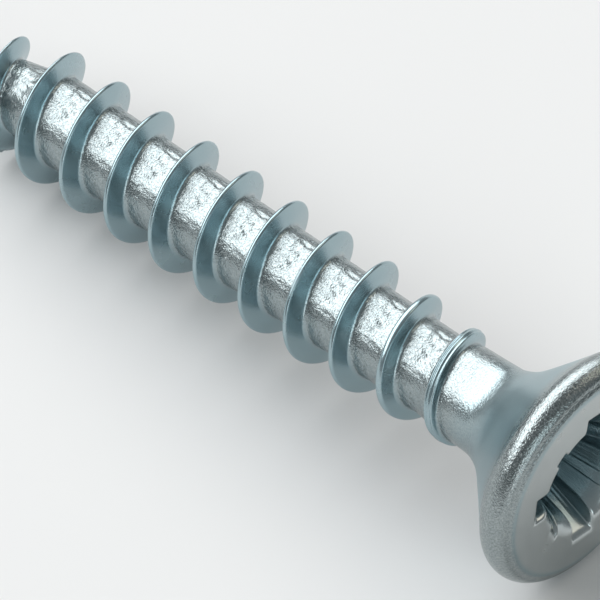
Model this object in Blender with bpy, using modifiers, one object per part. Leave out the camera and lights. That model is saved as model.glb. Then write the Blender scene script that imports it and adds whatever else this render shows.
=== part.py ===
"""Countersunk wood screw, 4.5 x 30 mm, right-hand single thread, cross recess with rib marks.

One cold-formed and thread-rolled piece of zinc-plated steel. The screw lies along X with its
head at +X and its point at -X. Z = 0 is the lowest point of the head's rim.
"""
import math

import bmesh
import bpy
from mathutils import Vector

# ---------------------------------------------------------------- driving sizes, in metres
LENGTH = 0.0300                 # head face to the tip of the point
THREAD_DIAMETER = 0.0044        # over the crests
ROOT_DIAMETER = 0.00289         # core between the ridges
PITCH = 0.0020                  # crest to crest
NECK_DIAMETER = 0.00322         # plain neck under the head
HEAD_DIAMETER = 0.0086          # over the rim

RIM_WIDTH = 0.00068             # from the flat ring of the face out to the widest part
FACE_CROWN = 0.00067            # from the flat face back to the widest part of the rim
RIM_ROUND = 0.00070             # radius that turns the rim into the cone
HEAD_CONE_ANGLE = 90.0          # whole angle of the seat, in degrees
NECK_FILLET = 0.0010            # hollow radius between the cone and the neck
NECK_LENGTH = 0.00076           # plain neck between the very end of the ridge and the cone
NECK_STEP = 0.0010              # slope from the neck down to the core
NECK_STEP_OVERLAP = 0.0011      # how far the slope begins before the ridge ends

CORE_POINT_ANGLE = 26.0         # whole angle of the core's point, in degrees
CREST_POINT_ANGLE = 47.8        # whole angle of the crests over the point, in degrees
TIP_RADIUS = 0.00006            # blunted end of the point

RIDGE_BASE = 0.28               # width of the ridge at the core, as a share of the pitch
RIDGE_CREST = 0.06              # width of its rounded crest, as a share of the pitch
RIDGE_TIP_BASE = 0.30           # width where the ridge has no height yet, as a share of full
RIDGE_START = 0.0005            # from the tip to the first of the ridge
RIDGE_START_ANGLE = 173.5       # its place about the axis, in degrees from +Y towards +Z
RIDGE_FADE = 0.0057             # length over which the ridge gets lower towards the neck
RIDGE_END_HEIGHT = 0.50         # its height where it stops, as a share of the full height
RIDGE_STOP_POWER = 8            # a larger number makes its rounded stop more sudden
RIDGE_ROOTING = 0.00022         # how far the ridge is sunk in the core
POINT_ROOTING = 0.6             # the same near the tip, as a share of the core's radius

RECESS_SPAN = 0.0055            # across opposite wings at the face
WING_WIDTH = 0.00112            # wing slot at the face
WING_DEPTH = 0.0026             # wing floor below the face
WING_TAPER_ANGLE = 26.5         # lean of a wing's end wall from the axis, in degrees
WING_NARROWING = 0.80           # wing width at its floor, as a share of that at the face
CORE_MOUTH_DIAMETER = 0.0044    # round middle of the recess at the face
CORE_RAMP_DIAMETER = 0.0035     # the same at the foot of the ramp round its mouth
CORE_RAMP_DEPTH = 0.0005        # foot of that ramp below the face
CORE_FLOOR_DIAMETER = 0.0024    # the same at the wing floor
CORE_DRILL_ANGLE = 120.0        # whole angle of the recess's pointed floor, in degrees
MARK_WIDTH = 0.00045            # rib marks halfway between the wings
MARK_REACH = 0.0002             # how far a mark stands outside the round middle
RECESS_CLOCKING = 172.3         # angle of the first wing from +Y towards +Z, in degrees
CUTTER_OVERRUN = 0.0004         # how far the cutters stand out of the face

# ---------------------------------------------------------------- fineness of the mesh
TURN_STEPS = 48                 # facets round a turned surface
ARC_STEPS = 6                   # segments in a rounded corner
RIDGE_STEPS = 28                # sections of the ridge in one turn
RIDGE_CREST_STEPS = 3           # segments over the ridge's crest
MERGE_DISTANCE = 0.000001
SMOOTH_ANGLE = 38.0             # sharper corners than this stay crisp, in degrees

# ---------------------------------------------------------------- places that follow from them
FACE_X = LENGTH / 2
TIP_X = -LENGTH / 2
HEAD_RADIUS = HEAD_DIAMETER / 2
ROOT_RADIUS = ROOT_DIAMETER / 2
NECK_RADIUS = NECK_DIAMETER / 2
THREAD_RADIUS = THREAD_DIAMETER / 2
AXIS_HEIGHT = HEAD_RADIUS

CONE_LEAN = math.radians(HEAD_CONE_ANGLE / 2)
WIDEST_X = FACE_X - FACE_CROWN
CONE_TOP_RADIUS = HEAD_RADIUS - RIM_ROUND * (1 - math.cos(CONE_LEAN))
CONE_TOP_X = WIDEST_X - RIM_ROUND * math.sin(CONE_LEAN)
CONE_FOOT_X = CONE_TOP_X - (CONE_TOP_RADIUS - NECK_RADIUS) / math.tan(CONE_LEAN)
FILLET_REACH = NECK_FILLET * math.tan(CONE_LEAN / 2)

RIDGE_END_X = CONE_FOOT_X - NECK_LENGTH
STEP_TOP_X = RIDGE_END_X - NECK_STEP_OVERLAP
STEP_FOOT_X = STEP_TOP_X - NECK_STEP
POINT_SLOPE = math.tan(math.radians(CORE_POINT_ANGLE / 2))
CREST_SLOPE = math.tan(math.radians(CREST_POINT_ANGLE / 2))
POINT_TOP_X = TIP_X + ROOT_RADIUS / POINT_SLOPE

object_collection = bpy.data.collections.new("wood_screw")
cutter_collection = bpy.data.collections.new("wood_screw_cutters")


def clear_scene():
    """Remove everything that the file starts with."""
    for item in list(bpy.data.objects):
        bpy.data.objects.remove(item, do_unlink=True)
    bpy.context.scene.collection.children.link(object_collection)
    bpy.context.scene.collection.children.link(cutter_collection)


def add_object(name, mesh, collection):
    """Link a mesh whose own X axis is the screw's axis."""
    item = bpy.data.objects.new(name, mesh)
    item.location = (0.0, 0.0, AXIS_HEIGHT)
    collection.objects.link(item)
    return item


def hide_cutter(item):
    """Cutters shape the screw and are no part of it."""
    item.hide_render = True
    item.display_type = 'WIRE'


def arc(centre_x, centre_radius, reach_x, reach_radius, first, last):
    """Points of an ellipse in the profile plane. Angles, in radians, start at the radial
    direction and grow towards +X."""
    points = []
    for step in range(ARC_STEPS + 1):
        angle = first + (last - first) * step / ARC_STEPS
        points.append((centre_x + reach_x * math.sin(angle),
                       centre_radius + reach_radius * math.cos(angle)))
    return points


def body_profile():
    """Half section of the screw without its thread, from the tip to the middle of the face."""
    fillet_x = CONE_FOOT_X - FILLET_REACH
    points = [(TIP_X, 0.0)]
    points.append((TIP_X, TIP_RADIUS))
    points.append((POINT_TOP_X, ROOT_RADIUS))
    points.append((STEP_FOOT_X, ROOT_RADIUS))
    points.append((STEP_TOP_X, NECK_RADIUS))
    points += arc(fillet_x, NECK_RADIUS + NECK_FILLET, NECK_FILLET, NECK_FILLET,
                  math.pi, math.pi - CONE_LEAN)
    points += arc(WIDEST_X, HEAD_RADIUS - RIM_ROUND, RIM_ROUND, RIM_ROUND, -CONE_LEAN, 0.0)
    points += arc(WIDEST_X, HEAD_RADIUS - RIM_WIDTH, FACE_CROWN, RIM_WIDTH, 0.0, math.pi / 2)[1:]
    points.append((FACE_X, 0.0))
    return points


def turned(name, profile, collection):
    """Turn an open profile, (place along X, radius) from -X to +X, about the X axis. It is
    laid down from +X to -X so that the turned faces look outwards."""
    mesh = bpy.data.meshes.new(name)
    places = [(x, 0.0, radius) for x, radius in reversed(profile)]
    edges = [(index, index + 1) for index in range(len(places) - 1)]
    mesh.from_pydata(places, edges, [])
    item = add_object(name, mesh, collection)
    lathe = item.modifiers.new("turn", 'SCREW')
    lathe.axis = 'X'
    lathe.angle = math.tau
    lathe.steps = TURN_STEPS
    lathe.render_steps = TURN_STEPS
    lathe.use_merge_vertices = True
    lathe.merge_threshold = MERGE_DISTANCE
    lathe.use_smooth_shade = False
    return item


def core_radius(x):
    """Radius of the core under the ridge at a place along the axis."""
    return max(min(ROOT_RADIUS, (x - TIP_X) * POINT_SLOPE), 0.0)


def crest_radius(x):
    """Radius of the crest: the point's cone, then full, then lower and lower up to a
    rounded stop at the neck."""
    share = (x - (RIDGE_END_X - RIDGE_FADE)) / RIDGE_FADE
    share = min(max(share, 0.0), 1.0)
    lowering = 1.0 - (1.0 - RIDGE_END_HEIGHT) * share
    stop = math.sqrt(1.0 - share ** RIDGE_STOP_POWER)
    full = ROOT_RADIUS + (THREAD_RADIUS - ROOT_RADIUS) * lowering * stop
    return min(full, (x - TIP_X) * CREST_SLOPE)


def ridge_section(x):
    """Section of the ridge as (offset along X, radius) points: two rooted in the core, the
    rest over the rounded crest. Its flanks are straight lines carried on into the core."""
    core = core_radius(x)
    height = max(crest_radius(x) - core, 0.0)
    full_height = THREAD_RADIUS - ROOT_RADIUS
    growth = 1.0
    if x < POINT_TOP_X:
        growth = RIDGE_TIP_BASE + (1.0 - RIDGE_TIP_BASE) * min(height / full_height, 1.0)
    base = PITCH * RIDGE_BASE / 2 * growth
    crest = PITCH * RIDGE_CREST / 2 * growth
    rooting = min(RIDGE_ROOTING, core * POINT_ROOTING)
    round_height = min(crest, height)
    flank_share = (height - round_height) / full_height
    shoulder = base - (base - crest) * flank_share
    widening = (base - crest) * rooting / full_height
    points = [(-base - widening, core - rooting)]
    for step in range(RIDGE_CREST_STEPS + 1):
        angle = math.pi * step / RIDGE_CREST_STEPS
        points.append((-shoulder * math.cos(angle),
                       core + height - round_height * (1.0 - math.sin(angle))))
    points.append((base + widening, core - rooting))
    return points


def ridge_mesh():
    """Loft the changing section along the helix and close its two ends."""
    mesh = bpy.data.meshes.new("thread_ridge")
    shape = bmesh.new()
    turns = (RIDGE_END_X - TIP_X - RIDGE_START) / PITCH
    stations = int(round(turns * RIDGE_STEPS))
    loops = []
    for station in range(stations + 1):
        turn = turns * station / stations
        x = TIP_X + RIDGE_START + PITCH * turn
        angle = math.radians(RIDGE_START_ANGLE) + math.tau * turn
        loop = []
        for offset, radius in ridge_section(x):
            loop.append(shape.verts.new((x + offset,
                                         radius * math.cos(angle),
                                         radius * math.sin(angle))))
        loops.append(loop)
    count = len(loops[0])
    for before, after in zip(loops, loops[1:]):
        for index in range(count):
            following = (index + 1) % count
            shape.faces.new((before[index], before[following], after[following], after[index]))
    shape.faces.new(loops[0])
    shape.faces.new(loops[-1])
    bmesh.ops.recalc_face_normals(shape, faces=shape.faces)
    shape.to_mesh(mesh)
    shape.free()
    return mesh


def slot_cutter(name, angle, mouth_reach, floor_reach, mouth_width, floor_width, depth):
    """Tapered slot right across the face through its middle: a loft between two rectangles,
    carried on past the face at the same slopes."""
    lean_reach = (mouth_reach - floor_reach) / depth
    lean_width = (mouth_width - floor_width) / depth
    mesh = bpy.data.meshes.new(name)
    shape = bmesh.new()
    out = Vector((0.0, math.cos(angle), math.sin(angle)))
    side = Vector((0.0, -math.sin(angle), math.cos(angle)))
    rings = []
    for below_face in (-CUTTER_OVERRUN, depth):
        reach = mouth_reach - lean_reach * below_face
        half = (mouth_width - lean_width * below_face) / 2
        level = Vector((FACE_X - below_face, 0.0, 0.0))
        corners = [(-reach, -half), (reach, -half), (reach, half), (-reach, half)]
        rings.append([shape.verts.new(level + out * along + side * across)
                      for along, across in corners])
    top, bottom = rings
    for index in range(len(top)):
        following = (index + 1) % len(top)
        shape.faces.new((top[index], top[following], bottom[following], bottom[index]))
    shape.faces.new(top)
    shape.faces.new(bottom)
    bmesh.ops.recalc_face_normals(shape, faces=shape.faces)
    shape.to_mesh(mesh)
    shape.free()
    item = add_object(name, mesh, cutter_collection)
    hide_cutter(item)
    return item


def recess_middle():
    """Round tapered middle of the recess, with a ramp at its mouth and a pointed floor."""
    mouth = CORE_MOUTH_DIAMETER / 2
    ramp = CORE_RAMP_DIAMETER / 2
    floor = CORE_FLOOR_DIAMETER / 2
    slope = (mouth - ramp) / CORE_RAMP_DEPTH
    floor_x = FACE_X - WING_DEPTH
    drill_depth = floor / math.tan(math.radians(CORE_DRILL_ANGLE / 2))
    profile = [(floor_x - drill_depth, 0.0),
               (floor_x, floor),
               (FACE_X - CORE_RAMP_DEPTH, ramp),
               (FACE_X + CUTTER_OVERRUN, mouth + slope * CUTTER_OVERRUN),
               (FACE_X + CUTTER_OVERRUN, 0.0)]
    item = turned("recess_middle", profile, cutter_collection)
    item.rotation_euler = (math.radians(RECESS_CLOCKING), 0.0, 0.0)
    hide_cutter(item)
    return item


def recess_cutters():
    """The round middle, two crossed slots that make the four wings, and two narrow crossed
    slots that make the marks halfway between the wings."""
    cutters = [recess_middle()]
    wing_lean = math.tan(math.radians(WING_TAPER_ANGLE))
    wing_floor_reach = RECESS_SPAN / 2 - WING_DEPTH * wing_lean
    mark_mouth = CORE_MOUTH_DIAMETER / 2 + MARK_REACH
    mark_floor = CORE_FLOOR_DIAMETER / 2 + MARK_REACH / 2
    for crossing in range(2):
        angle = math.radians(RECESS_CLOCKING) + crossing * math.pi / 2
        cutters.append(slot_cutter(f"wing_slot_{crossing + 1}", angle,
                                   RECESS_SPAN / 2, wing_floor_reach,
                                   WING_WIDTH, WING_WIDTH * WING_NARROWING, WING_DEPTH))
        cutters.append(slot_cutter(f"mark_slot_{crossing + 1}", angle + math.pi / 4,
                                   mark_mouth, mark_floor,
                                   MARK_WIDTH, MARK_WIDTH / 2, WING_DEPTH * WING_NARROWING))
    return cutters


def add_boolean(item, tool, operation):
    """Join or cut with an exact Boolean."""
    change = item.modifiers.new(f"{operation.lower()}_{tool.name}", 'BOOLEAN')
    change.operation = operation
    change.solver = 'EXACT'
    change.object = tool


def zinc_material():
    """Bright zinc plating on steel."""
    material = bpy.data.materials.new("zinc_plated_steel")
    material.use_nodes = True
    shader = material.node_tree.nodes["Principled BSDF"]
    shader.inputs["Base Color"].default_value = (0.56, 0.60, 0.62, 1.0)
    shader.inputs["Metallic"].default_value = 1.0
    shader.inputs["Roughness"].default_value = 0.34
    return material


def build_screw():
    """Turned body, cut recess, joined thread ridge."""
    screw = turned("screw", body_profile(), object_collection)
    for cutter in recess_cutters():
        add_boolean(screw, cutter, 'DIFFERENCE')
    ridge = add_object("thread_ridge", ridge_mesh(), cutter_collection)
    hide_cutter(ridge)
    add_boolean(screw, ridge, 'UNION')
    screw.data.materials.append(zinc_material())
    return screw


def shade(item):
    """Bake the modifiers into the mesh and shade its round surfaces smooth."""
    graph = bpy.context.evaluated_depsgraph_get()
    finished = bpy.data.meshes.new_from_object(item.evaluated_get(graph))
    item.modifiers.clear()
    item.data = finished
    finished.shade_smooth()
    finished.set_sharp_from_angle(angle=math.radians(SMOOTH_ANGLE))


clear_scene()
shade(build_screw())
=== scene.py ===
# %% [markdown]
# # A zinc-plated wood screw
# This script dresses a countersunk wood screw of the 4.5 x 30 mm size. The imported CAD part
# gives its size and place. Two surfaces worked out with numpy stand for it: the body, from
# the point to the flat ring of the head, and the cross recess. The real screw is one piece of
# steel, so the two meet without a step on the flat ring, where both are plane.

# %% Load the frame
import math

import bpy
import numpy as np
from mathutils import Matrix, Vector


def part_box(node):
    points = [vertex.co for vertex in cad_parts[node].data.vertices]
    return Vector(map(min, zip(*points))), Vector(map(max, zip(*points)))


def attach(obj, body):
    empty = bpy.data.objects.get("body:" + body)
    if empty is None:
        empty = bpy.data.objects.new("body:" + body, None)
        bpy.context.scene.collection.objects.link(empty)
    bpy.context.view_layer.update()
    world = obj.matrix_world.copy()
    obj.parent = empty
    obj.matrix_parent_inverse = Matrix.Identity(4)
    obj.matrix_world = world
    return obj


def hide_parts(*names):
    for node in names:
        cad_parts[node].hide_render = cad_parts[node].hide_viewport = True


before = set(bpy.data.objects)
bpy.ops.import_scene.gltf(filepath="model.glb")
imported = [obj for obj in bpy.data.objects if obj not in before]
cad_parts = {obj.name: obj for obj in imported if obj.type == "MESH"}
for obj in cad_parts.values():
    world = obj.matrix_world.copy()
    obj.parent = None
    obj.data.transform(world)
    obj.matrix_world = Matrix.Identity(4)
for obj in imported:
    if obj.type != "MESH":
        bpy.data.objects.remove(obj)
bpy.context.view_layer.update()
low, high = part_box("screw")
print("CAD screw from", [round(v * 1000, 3) for v in low], "to",
      [round(v * 1000, 3) for v in high], "mm")

# %% [markdown]
# ## Sizes
# The overall sizes come from the frame. A box can't tell where the neck begins or how deep the
# recess is, so the rest are the CAD part's own sizes, or close to them where a corner is
# rounded here. The screw lies along X, head at +X, so every shape below is a radius round
# that axis.

# %% Sizes, in metres
MM = 0.001
TIP_X, FACE_X = low.x, high.x
HEAD_RADIUS = (high.z - low.z) / 2
AXIS_HEIGHT = (high.z + low.z) / 2

PITCH = 2.0 * MM
ROOT_RADIUS = 1.445 * MM
THREAD_RADIUS = 2.20 * MM
POINT_SLOPE = math.tan(math.radians(13.0))
CREST_SLOPE = math.tan(math.radians(23.9))
TIP_ROUND = 0.05 * MM

RIM_ROUND = 0.70 * MM
FACE_CROWN = 0.67 * MM
FACE_RADIUS = 3.62 * MM
WIDEST_X = FACE_X - FACE_CROWN
CONE_TOP_X = WIDEST_X - RIM_ROUND * math.sin(math.pi / 4)
CONE_TOP_RADIUS = HEAD_RADIUS - RIM_ROUND * (1 - math.cos(math.pi / 4))
print("rim widest at x =", round(WIDEST_X / MM, 2), "mm; axis", round(AXIS_HEIGHT / MM, 2),
      "mm above the rim's lowest point")

# %% [markdown]
# ## Joining two slopes softly
# Cold forming and rolling leave no sharp inside corner. A smooth maximum joins two surfaces
# given as heights: it is the larger one, lifted by a small parabola where they nearly meet.


# %% Smooth maximum
def smooth_max(first, second, reach):
    """The larger of two heights, plus (reach - gap) squared over 4 reach where the gap
    between them is less than the reach."""
    gap = np.abs(first - second)
    return np.maximum(first, second) + np.maximum(reach - gap, 0.0) ** 2 / (4 * reach)


print("smooth maximum of 0 and 0 with reach 1:", smooth_max(0.0, 0.0, 1.0))

# %% [markdown]
# ## The blank
# Before the thread is rolled, the blank is a core, a slightly thicker neck and a flared head.
# As a function of the place along the axis it is the core's cone up to the root diameter,
# then the neck, then the 90 degree seat, which sags a little because the metal is upset
# from the wire and not turned.

# %% Radius of the blank
NECK_FOOT_X, NECK_TOP_X = 8.35 * MM, 9.55 * MM
NECK_RADIUS = 1.585 * MM
NECK_WIDENING = 0.045
SEAT_SAG = 0.045 * MM
SEAT_FILLET = 0.62 * MM
CORE_FILLET = 0.10 * MM
SEAT_FOOT_X = CONE_TOP_X - (CONE_TOP_RADIUS - NECK_RADIUS)


def blank_radius(x):
    """Core, neck and seat: the smaller of the point's cone and the root, eased up to the
    neck, then the smooth maximum of the neck and the sagging 45 degree seat."""
    cone = (x - TIP_X) * POINT_SLOPE + TIP_ROUND
    core = -smooth_max(-cone, -ROOT_RADIUS * np.ones_like(x), CORE_FILLET)
    step = np.clip((x - NECK_FOOT_X) / (NECK_TOP_X - NECK_FOOT_X), 0, 1)
    step = step * step * (3 - 2 * step)
    neck = NECK_RADIUS + NECK_WIDENING * np.maximum(x - NECK_TOP_X, 0)
    along = np.clip((x - SEAT_FOOT_X) / (CONE_TOP_X - SEAT_FOOT_X), 0, 1)
    seat = CONE_TOP_RADIUS - (CONE_TOP_X - x) - SEAT_SAG * 4 * along * (1 - along)
    return smooth_max(core + (neck - core) * step, seat, SEAT_FILLET)


print("blank radius at the root, neck and seat, mm:",
      np.round(blank_radius(np.array([0.0, 10.0, 13.0]) * MM) / MM, 3))

# %% [markdown]
# ## The thread ridge
# Two flat dies roll the thread: they press the valleys in and the metal swells into a ridge.
# Its section has straight flanks and a rounded crest. The crest follows the point's own
# cone at one end, and gets lower and stops round at the neck.

# %% Section and height of the ridge
RIDGE_BASE = 0.28 * MM
RIDGE_CREST = 0.06 * MM
RIDGE_FOOT_X, RIDGE_END_X = TIP_X + 0.5 * MM, 10.594 * MM
RIDGE_PHASE = math.radians(173.5)
RIDGE_FADE = 5.7 * MM
RIDGE_LOWERING = 0.50
RIDGE_STOP_POWER = 8
RIDGE_TIP_SHARE = 0.30
RIDGE_FILLET = 0.09 * MM
FULL_HEIGHT = THREAD_RADIUS - ROOT_RADIUS
HELIX_X = RIDGE_FOOT_X - PITCH * RIDGE_PHASE / math.tau


def ridge_radius(middle, offset):
    """Radius of the ridge at an offset from its middle. On the crest it is half an ellipse,
    beyond the shoulder a straight flank that goes on down below the core."""
    share = np.clip((middle - (RIDGE_END_X - RIDGE_FADE)) / RIDGE_FADE, 0, 1)
    lowered = (1 - (1 - RIDGE_LOWERING) * share) * np.sqrt(1 - share ** RIDGE_STOP_POWER)
    crest = np.minimum(ROOT_RADIUS + FULL_HEIGHT * lowered, (middle - TIP_X) * CREST_SLOPE)
    core = np.minimum(ROOT_RADIUS, (middle - TIP_X) * POINT_SLOPE)
    height = np.maximum(crest - core, 0)
    growth = np.where(core < ROOT_RADIUS,
                      RIDGE_TIP_SHARE + (1 - RIDGE_TIP_SHARE) * height / FULL_HEIGHT, 1.0)
    base, top = RIDGE_BASE * growth, RIDGE_CREST * growth
    rounding = np.minimum(top, height)
    shoulder = base - (base - top) * (height - rounding) / FULL_HEIGHT
    away = np.abs(offset)
    on_crest = np.clip(away / shoulder, 0, 1)
    ellipse = height - rounding * (1 - np.sqrt(1 - on_crest ** 2))
    flank = height - rounding - (away - shoulder) * FULL_HEIGHT / (base - top)
    radius = core + np.where(away < shoulder, ellipse, flank)
    inside = (middle > RIDGE_FOOT_X) & (middle < RIDGE_END_X)
    return np.where(inside, radius, 0.0)


print("ridge at its middle, shoulder and foot, mm:",
      np.round(ridge_radius(np.zeros(3), np.array([0.0, 0.07, 0.28]) * MM) / MM, 3))

# %% [markdown]
# ## Meshes from grids
# Every surface here is a grid of points, rows by columns, closed round the axis. This helper
# numbers the grid's quads as whole arrays. It hands points and quads to Blender with
# from_pydata and the masks with foreach_set. Then it merges the points that share a place,
# which closes the seam, the tip of the screw and the bottom of the recess.

# %% Grid to mesh
MERGE = 1e-7


def quads(rows, columns):
    """Corner numbers of every quad of a grid, wound so that it faces outwards."""
    corner = np.arange(rows * columns).reshape(rows, columns)
    return np.stack([corner[:-1, :-1], corner[:-1, 1:], corner[1:, 1:], corner[1:, :-1]],
                    -1).reshape(-1, 4)


def grid_piece(name, along, angle, radius, values):
    """A mesh from a grid of places along the axis, angles and radii, with one named number
    per point for each entry of values."""
    points = np.stack([along, radius * np.cos(angle),
                       AXIS_HEIGHT + radius * np.sin(angle)], -1)
    mesh = bpy.data.meshes.new(name)
    mesh.from_pydata(points.reshape(-1, 3), [], quads(*along.shape))
    for label, numbers in values.items():
        layer = mesh.attributes.new(label, 'FLOAT', 'POINT')
        layer.data.foreach_set("value", numbers.astype(np.float32).ravel())
    item = bpy.data.objects.new(name, mesh)
    bpy.context.scene.collection.objects.link(item)
    weld = item.modifiers.new("close", 'WELD')
    weld.merge_threshold = MERGE
    graph = bpy.context.evaluated_depsgraph_get()
    closed = bpy.data.meshes.new_from_object(item.evaluated_get(graph))
    item.modifiers.clear()
    item.data = closed
    closed.name = name
    closed.shade_smooth()
    closed.calc_loop_triangles()
    print(name, "has", len(closed.vertices), "points and", len(closed.loop_triangles),
          "triangles")
    return item


# %% [markdown]
# ## Smears on the valleys
# The dies drag the metal as they roll, so a valley is never a clean cylinder: it has shallow
# smears that come back at the same place on every turn. A sum of a few waves round the axis
# and along it, with seeded phases, gives a rough surface that closes on itself.


# %% Waves round the axis
def waves(angle, across, seed, count, turns_up_to, across_up_to):
    """Sum of seeded cosines, scaled to a spread of about 1. Each has a whole number of
    waves round the axis and a free number across, so the pattern has no seam."""
    draw = np.random.default_rng(seed)
    total = np.zeros(np.broadcast(angle, across).shape)
    for _ in range(count):
        round_axis = draw.integers(1, turns_up_to + 1)
        over = draw.uniform(-across_up_to, across_up_to)
        total += np.cos(round_axis * angle + math.tau * over * across
                        + draw.uniform(0, math.tau))
    return total / math.sqrt(count / 2)


SMEAR_WAVES = {"seed": 11, "count": 44, "turns_up_to": 34, "across_up_to": 6.0}
one_turn, one_valley = np.linspace(0, math.tau, 400)[None, :], np.linspace(0, 1, 40)[:, None]
print("smears: spread", round(float(waves(one_turn, one_valley, **SMEAR_WAVES).std()), 2))

# %% [markdown]
# ## Rows of the thread
# The grid is sheared: a row follows the ridge round the screw and moves one pitch along the
# axis in a turn, so the crest and the fillets always run along rows and stay crisp. Rows are
# spread over the section's own length, and closer together on the crest. Points past the tip
# or past the neck are held there, and merging closes them up.

# %% Rows of the thread
COLUMNS = 168
ROWS_IN_TURN = 34
SECTION_STEPS = 2001
CREST_CROWDING, CREST_REACH = 2.5, 0.12 * MM
JOIN_X = 11.0 * MM

fine = np.linspace(-0.5, 0.5, SECTION_STEPS)
section = np.maximum(ridge_radius(np.zeros(SECTION_STEPS), fine * PITCH), ROOT_RADIUS)
step = np.hypot(np.diff(fine * PITCH), np.diff(section))
step *= 1 + CREST_CROWDING * np.exp(-(fine[1:] * PITCH / CREST_REACH) ** 2)
length = np.append(0, np.cumsum(step))
turn_share = np.interp(np.arange(ROWS_IN_TURN) / ROWS_IN_TURN * length[-1], length, fine)

first_turn = math.floor((TIP_X - HELIX_X) / PITCH) - 1
last_turn = math.ceil((JOIN_X - HELIX_X) / PITCH) + 1
turns = np.arange(first_turn, last_turn + 1)
row_place = (turns[:, None] + turn_share[None, :]).ravel()
row_offset = np.tile(turn_share * PITCH, len(turns))
angle = np.linspace(0, math.tau, COLUMNS + 1)

along = HELIX_X + PITCH * (row_place[:, None] + angle[None, :] / math.tau)
offset = np.broadcast_to(row_offset[:, None], along.shape)
middle = along - offset
held = np.clip(along, TIP_X, JOIN_X)
keep = (along.max(axis=1) > TIP_X) & (along.min(axis=1) < JOIN_X)
print("thread rows:", int(keep.sum()))

# %% [markdown]
# ## Marks of the dies
# Besides the smears, three wandering grooves run over an arc of each valley. They are the
# folds where metal was pushed over metal, and each is a bell curve across. Smears and folds
# fade out towards the ridge, the tip and the neck. A cosine across the last crest gives it the
# parallel lines of a ridge that was not quite filled.

# %% Smears, folds and lines
VALLEY_EDGE = 0.15 * MM
SMEAR_END_X = 10.2 * MM
FOLD_PLACES = np.array([0.02, 0.22, 0.42]) * MM
FOLD_WIDTH, FOLD_WANDER = 0.08 * MM, 0.04 * MM
FOLD_ARC_MIDDLE, FOLD_ARC_COSINE, FOLD_ARC_SHARPNESS = math.radians(92.0), 0.80, 12.0
FOLD_EVENNESS = 0.7
WANDER_WAVES = {"count": 12, "turns_up_to": 24, "across_up_to": 0}
EVENNESS_WAVES = {"seed": 9, "count": 12, "turns_up_to": 30, "across_up_to": 0}
LINES_START_X, LINES_SPACING = 7.5 * MM, 0.15 * MM
SMEAR_HEIGHT, FOLD_DEPTH, LINES_DEPTH = 0.006 * MM, 0.045 * MM, 0.02 * MM

valley = np.clip((np.abs(offset) - RIDGE_BASE) / VALLEY_EDGE, 0, 1)
faded = np.clip((held - TIP_X) / PITCH, 0, 1) * np.clip((SMEAR_END_X - held) / MM, 0, 1)
smears = waves(angle[None, :], offset / PITCH, **SMEAR_WAVES) * valley * faded

valley_place = offset % PITCH - PITCH / 2
folds = 0
for seed, place in enumerate(FOLD_PLACES):
    wander = FOLD_WANDER * waves(angle[None, :], 0, seed, **WANDER_WAVES)
    folds = folds + np.exp(-((valley_place - place - wander) / FOLD_WIDTH) ** 2)
arc = np.clip(FOLD_ARC_SHARPNESS * (np.cos(angle - FOLD_ARC_MIDDLE) - FOLD_ARC_COSINE), 0, 1)
uneven = waves(angle[None, :], 0, **EVENNESS_WAVES)
folds = folds * arc * (FOLD_EVENNESS + (1 - FOLD_EVENNESS) * uneven)
folds = folds * valley * faded

near_end = np.clip((middle - LINES_START_X) / PITCH, 0, 1)
lines = np.cos(math.tau * offset / LINES_SPACING) - 1
lines = near_end * lines * (np.abs(offset) < LINES_SPACING)
print("deepest fold, mm:", round(float(folds.max()) * FOLD_DEPTH / MM, 3))

# %% [markdown]
# ## Surface of the thread
# The blank with its smears and folds, and the ridge with its lines, meet in a small fillet.
# Points held at the tip get no radius, and points held at the neck get the blank's.

# %% Surface of the thread
core = blank_radius(held) + SMEAR_HEIGHT * smears - FOLD_DEPTH * folds
crest = ridge_radius(middle, offset)
crest = np.where(crest > 0, crest + LINES_DEPTH * lines, 0)
thread_radius = smooth_max(core, crest, RIDGE_FILLET)
thread_radius = np.where(along <= TIP_X, 0.0, thread_radius)
thread_radius = np.where(along >= JOIN_X, blank_radius(held), thread_radius)
print("largest radius of the thread, mm:", round(float(thread_radius[keep].max()) / MM, 3))

# %% [markdown]
# ## Rows of the head
# From the neck the rows run straight round: along the seat, round the rim, over the crown and
# onto the flat ring. The crown is a quarter of an ellipse with a shallow hollow near the ring,
# where the header die met the blank.

# %% Rows of the head
SEAT_ROWS, ROUND_ROWS, CROWN_ROWS, RING_ROWS = 16, 8, 26, 4
HOLLOW_DEPTH, HOLLOW_RADIUS, HOLLOW_REACH = 0.045 * MM, 3.93 * MM, 0.10 * MM
RING_RADIUS = 3.30 * MM
seat_x = np.linspace(JOIN_X, CONE_TOP_X, SEAT_ROWS)
rear = np.linspace(-math.pi / 4, 0, ROUND_ROWS + 1)[1:]
crown = np.linspace(0, math.pi / 2, CROWN_ROWS + 1)[1:]
crown_radius = FACE_RADIUS + (HEAD_RADIUS - FACE_RADIUS) * np.cos(crown)
hollow = HOLLOW_DEPTH * np.exp(-((crown_radius - HOLLOW_RADIUS) / HOLLOW_REACH) ** 2)
hollow *= np.sin(2 * crown)
head_x = np.concatenate([
    seat_x,
    WIDEST_X + RIM_ROUND * np.sin(rear),
    WIDEST_X + FACE_CROWN * np.sin(crown) - hollow,
    np.full(RING_ROWS, FACE_X)])
head_radius = np.concatenate([
    blank_radius(seat_x),
    HEAD_RADIUS - RIM_ROUND * (1 - np.cos(rear)),
    crown_radius,
    np.linspace(FACE_RADIUS, RING_RADIUS, RING_ROWS + 1)[1:]])

shape = (len(head_x), COLUMNS + 1)
all_along = np.vstack([held[keep], np.broadcast_to(head_x[:, None], shape)])
all_radius = np.vstack([thread_radius[keep], np.broadcast_to(head_radius[:, None], shape)])
all_angle = np.broadcast_to(angle, all_along.shape)
print("body rows:", len(all_along))

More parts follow.
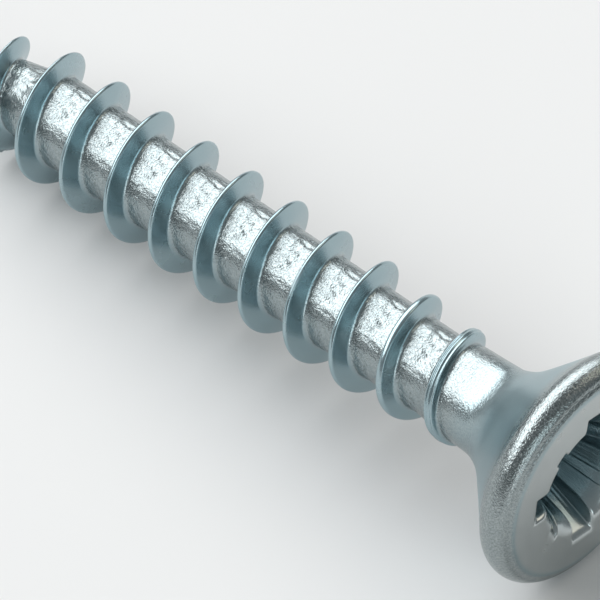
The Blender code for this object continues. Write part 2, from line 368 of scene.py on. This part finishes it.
# %% [markdown]
# ## Masks of the body
# Each point gets three numbers for the material. Grain is high in the valleys, on the neck and
# over the rim, matte marks the seat, and plain marks the flat ring. Each mask is a few pairs of
# place and value, joined by straight lines. The place is along the axis on the shank, and out
# from the axis on the face, both in millimetres.

# %% Masks of the body
FLANK_SHARE = 0.12
GRAIN_ALONG = [(-15.0, 0.9), (10.0, 0.9), (10.6, 0.6), (11.2, 0.5), (11.8, 0.15),
               (13.3, 0.12), (13.7, 0.5), (13.95, 1.0)]
GRAIN_ON_FACE = [(3.60, 0.06), (3.72, 0.35), (3.85, 1.0)]
PLAIN_ON_FACE = [(3.60, 1.0), (3.72, 0.0)]
MATTE_ALONG = [(10.6, 0.0), (11.9, 1.0), (13.5, 1.0), (13.9, 0.0)]


def by_place(places, pairs):
    """A mask that joins pairs of place and value, in millimetres, by straight lines."""
    return np.interp(places / MM, *zip(*pairs))


ridge_share = np.clip((all_radius - blank_radius(all_along)) / FULL_HEIGHT, 0, 1)
on_shank = np.clip(1 - ridge_share / FLANK_SHARE, 0, 1)
on_face = all_along > WIDEST_X
grain = np.where(on_face, by_place(all_radius, GRAIN_ON_FACE),
                 by_place(all_along, GRAIN_ALONG) * on_shank)
matte = by_place(all_along, MATTE_ALONG) * on_shank
plain = np.where(on_face, by_place(all_radius, PLAIN_ON_FACE), 0)
body = grid_piece("screw_body", all_along, all_angle, all_radius,
                  {"grain": grain, "matte": matte, "plain": plain})
print("grain from", round(float(grain.min()), 2), "to", round(float(grain.max()), 2))

# %% [markdown]
# ## The recess
# A punch forms the recess: four tapered wings, a round middle, and narrow marks halfway
# between the wings. Seen along the axis its outline is a star, so for each depth one radius
# per angle describes it: the largest of wing, middle and marks. A wing's radius is that of
# a rectangle, the smaller of half width over sine and reach over cosine.

# %% Outline of the recess
WING_REACH = 2.58 * MM
WING_HALF_WIDTH = 0.47 * MM
WING_DEPTH = 2.6 * MM
WING_LEAN = math.tan(math.radians(26.5))
WING_NARROWING = 0.12 * MM
MIDDLE_MOUTH, MIDDLE_RAMP, MIDDLE_BOTTOM = 2.1 * MM, 1.75 * MM, 1.2 * MM
RAMP_DEPTH = 0.5 * MM
RAMP_BLEND, WING_BLEND, MARK_BLEND = 0.15 * MM, 0.25 * MM, 0.06 * MM
MARK_REACH = 0.2 * MM
MARK_HALF_WIDTH = 0.225 * MM
CLOCKING = math.radians(172.3)
CORNER_POWER = 40
NEVER_ZERO = 1e-6
MOUTH_ROUND = 0.22 * MM


def soft_min(first, second):
    """A power mean that is nearly the smaller of two positive numbers, with a round corner."""
    return (first ** -CORNER_POWER + second ** -CORNER_POWER) ** (-1 / CORNER_POWER)


def recess_outline(angle, depth, flare):
    """Radius of the recess at an angle and a depth below the face. The wings narrow and
    their ends lean in with depth, the middle is a steep ramp and then a gentle one, and a
    mark is a slot a little longer than the middle. The flare moves every wall out."""
    share = depth / WING_DEPTH
    from_wing = (angle - CLOCKING + math.pi / 4) % (math.pi / 2) - math.pi / 4
    from_mark = (angle - CLOCKING) % (math.pi / 2) - math.pi / 4
    half = WING_HALF_WIDTH - WING_NARROWING * share + flare / 2
    reach = WING_REACH - WING_LEAN * depth + flare
    wing = soft_min(half / np.maximum(np.abs(np.sin(from_wing)), NEVER_ZERO) / MM,
                    reach / np.cos(from_wing) / MM) * MM
    ramp = MIDDLE_MOUTH - (MIDDLE_MOUTH - MIDDLE_RAMP) * depth / RAMP_DEPTH
    shaft = (MIDDLE_RAMP - (MIDDLE_RAMP - MIDDLE_BOTTOM) * (depth - RAMP_DEPTH)
             / (WING_DEPTH - RAMP_DEPTH))
    middle = smooth_max(ramp, shaft, RAMP_BLEND) + flare
    mark_half = MARK_HALF_WIDTH * (1 - share / 2) + flare / 2
    mark = soft_min(mark_half / np.maximum(np.abs(np.sin(from_mark)), NEVER_ZERO) / MM,
                    (middle + MARK_REACH * (1 - share)) / MM) * MM
    return smooth_max(smooth_max(wing, middle, WING_BLEND), mark, MARK_BLEND)


print("recess at a wing and at a mark, mm:",
      np.round(recess_outline(CLOCKING + np.array([0, math.pi / 4]), 0.0, 0.0) / MM, 2))

# %% [markdown]
# ## Rows of the recess
# The rows go from the edge of the flat ring in to the mouth, round the mouth's soft lip, down
# the walls and over the bottom to its pointed middle. The lip is a quarter round: as it goes
# down by 1 - cosine it closes in by 1 - sine. The punch leaves fine stripes down the walls.
# Its masks run by depth: pressed plain at the mouth, grainier further down, and a painted
# shade that darkens the colour with depth, where the recess lies in its own shadow.

# %% Rows of the recess
RECESS_COLUMNS = 3 * COLUMNS
FACE_ROWS, LIP_ROWS, WALL_ROWS, BOTTOM_ROWS = 10, 7, 28, 12
WALL_CROWDING = 1.5
STRIPE_HEIGHT = 0.004 * MM
STRIPE_FADE = 0.5
STRIPE_WAVES = {"seed": 5, "count": 40, "turns_up_to": 90, "across_up_to": 0.6}
BOTTOM_SLOPE = math.tan(math.radians(30.0))
FACE_GRAIN, WALL_GRAIN = 0.06, 0.25
PLAIN_DEPTH = 0.6 * MM
# Painted shade: the recess colour darkens between these depths, standing in for its shadow.
SHADE_FROM, SHADE_TO = 0.3 * MM, 1.4 * MM
turn = np.linspace(0, math.tau, RECESS_COLUMNS + 1)[None, :]
lip = np.linspace(0, math.pi / 2, LIP_ROWS)[:, None]
lip_depth = MOUTH_ROUND * (1 - np.cos(lip))
lip_radius = recess_outline(turn, lip_depth, MOUTH_ROUND * (1 - np.sin(lip)))
shares = np.linspace(0, 1, FACE_ROWS, endpoint=False)[:, None]
face_radius = RING_RADIUS + (lip_radius[:1] - RING_RADIUS) * shares
wall_share = (np.linspace(0, 1, WALL_ROWS + 1) ** WALL_CROWDING)[1:, None]
wall_depth = MOUTH_ROUND + (WING_DEPTH - MOUTH_ROUND) * wall_share
stripes = waves(turn, wall_share, **STRIPE_WAVES)
stripes = stripes * np.clip(wall_share / STRIPE_FADE, 0, 1)
wall_radius = recess_outline(turn, wall_depth, 0.0) + STRIPE_HEIGHT * stripes
bottom_share = np.linspace(1, 0, BOTTOM_ROWS + 1)[1:, None]
bottom_radius = wall_radius[-1:] * bottom_share
bottom_depth = WING_DEPTH + np.maximum(MIDDLE_BOTTOM - bottom_radius, 0) * BOTTOM_SLOPE
rows = [(0.0, face_radius), (lip_depth, lip_radius), (wall_depth, wall_radius),
        (bottom_depth, bottom_radius)]
recess_depth = np.vstack([np.broadcast_to(depth, radius.shape) for depth, radius in rows])
recess_radius = np.vstack([radius for _, radius in rows])
recess_turn = np.broadcast_to(turn, recess_depth.shape)
recess_masks = {
    "grain": FACE_GRAIN + WALL_GRAIN * np.clip(recess_depth / MM, 0, 1),
    "plain": np.clip(1 - recess_depth / PLAIN_DEPTH, 0, 1),
    # Painted shade: 0 at the mouth, 1 deep in the recess, where shade falls.
    "painted_shade": np.clip((recess_depth - SHADE_FROM) / (SHADE_TO - SHADE_FROM), 0, 1)}
recess = grid_piece("screw_recess", FACE_X - recess_depth, recess_turn, recess_radius,
                    recess_masks)

# %% [markdown]
# ## Writing shader maths
# A material is a net of nodes, and nets get long. This small class wraps an output socket, so
# that a sum or a product of sockets reads like a formula and adds the Math nodes by itself.
# Its node method makes any other node: first the node's own settings, then its inputs, each
# either a plain value or a link. Colours are blended with a Mix node.

# %% Socket class
MIX_FACTOR, MIX_FIRST, MIX_SECOND, MIX_COLOUR = 0, 6, 7, 2


class Link:
    """An output socket of a node tree, with arithmetic."""

    def __init__(self, tree, socket=None):
        self.tree, self.socket = tree, socket

    def node(self, kind, settings, values, output=0):
        """Add a node and give back one of its outputs."""
        made = self.tree.nodes.new(kind)
        for label, value in settings.items():
            setattr(made, label, value)
        for label, value in values.items():
            self.feed(value, made.inputs[label])
        return Link(self.tree, made.outputs[output])

    def feed(self, value, target):
        """Put a plain value on an input, or link a socket to it."""
        if isinstance(value, Link):
            self.tree.links.new(value.socket, target)
        else:
            target.default_value = value

    def math(self, operation, first, second):
        """Add a Math node for one operation on two inputs."""
        return self.node("ShaderNodeMath", {"operation": operation}, {0: first, 1: second})

    def blend(self, first, second):
        """From the first colour to the second as this socket goes from 0 to 1."""
        return self.node("ShaderNodeMix", {"data_type": 'RGBA'},
                         {MIX_FACTOR: self, MIX_FIRST: first, MIX_SECOND: second}, MIX_COLOUR)

    def __add__(self, other):
        return self.math('ADD', self, other)

    def __radd__(self, other):
        return self.math('ADD', other, self)

    def __sub__(self, other):
        return self.math('SUBTRACT', self, other)

    def __rsub__(self, other):
        return self.math('SUBTRACT', other, self)

    def __mul__(self, other):
        return self.math('MULTIPLY', self, other)

    def __rmul__(self, other):
        return self.math('MULTIPLY', other, self)


# %% [markdown]
# ## Zinc plating
# The real screw has a thin coat of bright zinc, blued in a passivating bath. Zinc grows in
# grains, so wherever nothing has rubbed it, in the valleys, on the neck and on the rim, it
# glitters. The flanks and the flat ring were pressed by the dies and the punch and are plain.
# Three noises on Object coordinates do this: a speck the size of the grains, a dent a few
# grains wide, and a wide one for stains. The masks stored on the meshes say where each tone
# belongs, and one of them mixes a painted shade into the colour deep in the recess. The
# metal is fully metallic, so its colour is the tint of what it mirrors.

# %% Zinc material
SPECKS, DENTS, STAINS = 17 / MM, 6 / MM, 0.7 / MM
FINE_DETAIL, STAIN_DETAIL = 2.0, 3.0
NOISE_MEAN = 0.5
ROUGH, ROUGH_STAIN, ROUGH_GRAIN, ROUGH_MATTE = 0.26, 0.14, 0.08, 0.12
FLANK_DARK, FLANK_LIGHT = (0.30, 0.41, 0.45, 1), (0.42, 0.53, 0.56, 1)
GRAIN_DARK, GRAIN_LIGHT = (0.09, 0.12, 0.13, 1), (0.52, 0.57, 0.57, 1)
PLAIN_DARK, PLAIN_LIGHT = (0.44, 0.48, 0.485, 1), (0.56, 0.59, 0.585, 1)
# Painted shade: a dark tint mixed in deep in the recess, standing in for its shadow.
PAINTED_SHADE_TINT, PAINTED_SHADE_SHARE = (0.13, 0.17, 0.19, 1), 0.25
BUMP_HEIGHT, BUMP_FLOOR, DENT_SHARE = 0.018 * MM, 0.05, 0.8


def noise(start, place, scale, detail):
    """A noise on a place, between 0 and 1, with so many features in a metre."""
    return start.node("ShaderNodeTexNoise", {}, {"Vector": place, "Scale": scale,
                                                 "Detail": detail})


def zinc(name):
    """Metal whose tint, roughness and small relief follow the masks grain, matte, plain
    and painted_shade of the mesh. The last mixes a painted shade into the tint down the recess."""
    material = bpy.data.materials.new(name)
    material.use_nodes = True
    start = Link(material.node_tree)
    shader = material.node_tree.nodes["Principled BSDF"].inputs
    shader["Metallic"].default_value = 1.0
    place = start.node("ShaderNodeTexCoord", {}, {}, "Object")
    grain, matte, plain, painted_shade = [
        start.node("ShaderNodeAttribute", {"attribute_name": label}, {}, "Fac")
        for label in ("grain", "matte", "plain", "painted_shade")]
    speck = noise(start, place, SPECKS, FINE_DETAIL)
    dent = noise(start, place, DENTS, FINE_DETAIL)
    stain = noise(start, place, STAINS, STAIN_DETAIL)

    rough = ROUGH + ROUGH_STAIN * (stain - NOISE_MEAN) - ROUGH_GRAIN * grain + ROUGH_MATTE * matte
    start.feed(rough, shader["Roughness"])
    flank = stain.blend(FLANK_DARK, FLANK_LIGHT)
    sparkle = speck.blend(GRAIN_DARK, GRAIN_LIGHT)
    pressed = stain.blend(PLAIN_DARK, PLAIN_LIGHT)
    tint = plain.blend(grain.blend(flank, sparkle), pressed)
    # Painted shade: the tint darkens towards a dark blue-grey deep in the recess.
    start.feed((PAINTED_SHADE_SHARE * painted_shade).blend(tint, PAINTED_SHADE_TINT), shader["Base Color"])
    height = (speck + DENT_SHARE * dent) * (BUMP_FLOOR + (1 - BUMP_FLOOR) * grain)
    bump = start.node("ShaderNodeBump", {}, {"Height": height, "Distance": BUMP_HEIGHT},
                      "Normal")
    start.feed(bump, shader["Normal"])
    print(name, "has", len(material.node_tree.nodes), "nodes")
    return material


finish = zinc("bright_zinc")
for piece in (body, recess):
    piece.data.materials.clear()
    piece.data.materials.append(finish)
    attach(piece, "root")
    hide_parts("screw")

# %% [markdown]
# ## Floor
# A plain sheet of pale paper. A screw on its side rests on the rim of its head and on the
# thread just behind the point, so it lies at a slant. The screw stays level in the shared
# frame, and the sheet is tilted instead: it passes through the rim's lowest point and touches
# the first full crest.

# %% Floor
CONTACT_X = TIP_X + THREAD_RADIUS / CREST_SLOPE
FLOOR_TILT = math.atan((AXIS_HEIGHT - THREAD_RADIUS) / (WIDEST_X - CONTACT_X))
FLOOR_SIZE = 0.30
PAPER_COLOUR, PAPER_ROUGHNESS = (0.8, 0.8, 0.8, 1), 0.9
corners = np.array([[-1, -1], [1, -1], [1, 1], [-1, 1]]) * FLOOR_SIZE
floor_points = np.stack([WIDEST_X + corners[:, 0] * math.cos(FLOOR_TILT), corners[:, 1],
                         -corners[:, 0] * math.sin(FLOOR_TILT)], -1)
floor_mesh = bpy.data.meshes.new("floor")
floor_mesh.from_pydata(floor_points, [], [(0, 1, 2, 3)])
floor = bpy.data.objects.new("floor", floor_mesh)
bpy.context.scene.collection.objects.link(floor)
paper = bpy.data.materials.new("white_paper")
paper.use_nodes = True
paper_inputs = paper.node_tree.nodes["Principled BSDF"].inputs
paper_inputs["Base Color"].default_value = PAPER_COLOUR
paper_inputs["Roughness"].default_value = PAPER_ROUGHNESS
floor_mesh.materials.append(paper)
print("floor tilted by", round(math.degrees(FLOOR_TILT), 2), "degrees")

# %% [markdown]
# ## Camera
# A close view from in front of the head and well above it, through a very long lens, so the
# far and near threads look equally big. The view crops the point and half of the head. The
# camera's right, up and back directions come from its azimuth and elevation, and the point
# it looks at is given along them from the middle of the screw's axis.

# %% Camera
CAMERA_AZIMUTH, CAMERA_ELEVATION = math.radians(42.5), math.radians(47.1)
CAMERA_DISTANCE = 471.0 * MM
CAMERA_LENS, CAMERA_SENSOR = 861.0, 36.0
CAMERA_RIGHT, CAMERA_UP = 1.650 * MM, -1.734 * MM
CLIP_NEAR, CLIP_FAR = 0.01, 5.0
right = np.array([math.cos(CAMERA_AZIMUTH), math.sin(CAMERA_AZIMUTH), 0])
back = np.array([math.sin(CAMERA_AZIMUTH) * math.cos(CAMERA_ELEVATION),
                 -math.cos(CAMERA_AZIMUTH) * math.cos(CAMERA_ELEVATION),
                 math.sin(CAMERA_ELEVATION)])
up = np.cross(back, right)
target = np.array([0, 0, AXIS_HEIGHT]) + right * CAMERA_RIGHT + up * CAMERA_UP
lens = bpy.data.cameras.new("camera")
lens.lens, lens.sensor_width = CAMERA_LENS, CAMERA_SENSOR
lens.clip_start, lens.clip_end = CLIP_NEAR, CLIP_FAR
camera = bpy.data.objects.new("camera", lens)
camera.location = target + back * CAMERA_DISTANCE
camera.rotation_euler = (math.pi / 2 - CAMERA_ELEVATION, 0, CAMERA_AZIMUTH)
bpy.context.scene.collection.objects.link(camera)
bpy.context.scene.camera = camera
print("camera at", np.round(target + back * CAMERA_DISTANCE, 3), "m")

# %% [markdown]
# ## Light
# Metal shows its surroundings, so its highlights are pictures of the lamps. A long softbox
# across the screw, leaning towards the point, draws the white band along the neck and the
# valleys. A low lamp in front of the head catches the inner edge of the rim, a cool one above
# it fills the flanks, and a small warm one behind lights the end wall of a wing. The world is
# a dim, even grey. The Standard view leaves bright metal as white as it is.

# %% Softboxes and world
LAMP_DISTANCE = 0.5
WHITE, WARM, COOL = (1.0, 1.0, 1.0), (1.0, 0.86, 0.70), (0.86, 0.98, 1.0)
WORLD_GREY = (0.24, 0.255, 0.26, 1)
# Direction, level side and other side in metres, radiance and tint.
LAMPS = {
    "overhead": ((-0.62, 0.0, 0.78), 1.40, 0.38, 3.2, WHITE),
    "front": ((0.80, -0.57, 0.10), 0.16, 0.10, 2.5, WHITE),
    "fill": ((0.86, -0.30, 0.41), 0.30, 0.22, 1.6, COOL),
    "behind": ((0.25, 0.70, 0.67), 0.20, 0.20, 1.3, WARM)}


def softbox(name, direction, across, along, radiance, tint):
    """A rectangular lamp that faces the screw from a direction. Its across side is level.
    Its power is pi times the area times the radiance it should show."""
    lamp = bpy.data.lights.new(name, 'AREA')
    lamp.shape = 'RECTANGLE'
    lamp.size, lamp.size_y = across, along
    lamp.color = tint
    lamp.energy = radiance * math.pi * across * along
    item = bpy.data.objects.new(name, lamp)
    facing = Vector(direction).normalized()
    item.location = facing * LAMP_DISTANCE
    item.rotation_euler = facing.to_track_quat('Z', 'Y').to_euler()
    bpy.context.scene.collection.objects.link(item)
    print(name, "softbox:", round(lamp.energy, 2), "W")


for name, settings in LAMPS.items():
    softbox(name, *settings)
world = bpy.data.worlds.new("studio")
bpy.context.scene.world = world
world.use_nodes = True
world.node_tree.nodes["Background"].inputs["Color"].default_value = WORLD_GREY
bpy.context.scene.view_settings.view_transform = 'Standard'
